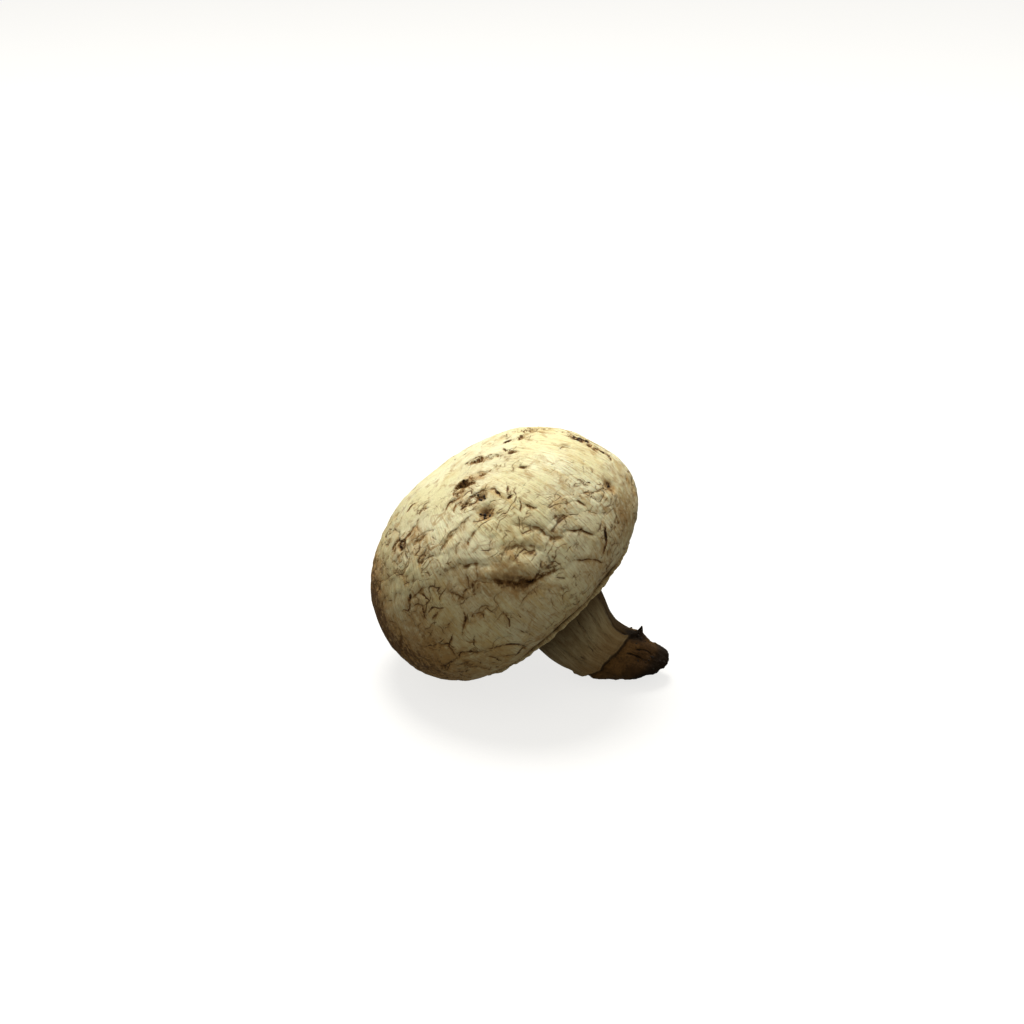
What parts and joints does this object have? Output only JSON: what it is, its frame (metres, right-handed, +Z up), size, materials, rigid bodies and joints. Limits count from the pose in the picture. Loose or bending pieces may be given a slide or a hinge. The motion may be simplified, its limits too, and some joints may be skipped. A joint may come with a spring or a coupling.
{
  "type": "button mushroom",
  "caption": "Picked button mushroom with a scaly domed cap, torn veil, gills and a short curved stem, lying on its side.",
  "frame": {"origin": "on the resting surface, under the middle of the mushroom's box", "axes": "+Z up, +X from the cap towards the foot of the stem"},
  "size_m": [0.0572, 0.0544, 0.0465],
  "materials": {
    "cap_skin": "satin",
    "gill_flesh": "matte",
    "veil_skin": "matte",
    "stem_skin": "matte"
  },
  "bodies": {
    "root": {"cap": "cap_skin", "gills": "gill_flesh", "veil": "veil_skin", "stem": "stem_skin"}
  },
  "joints": []
}
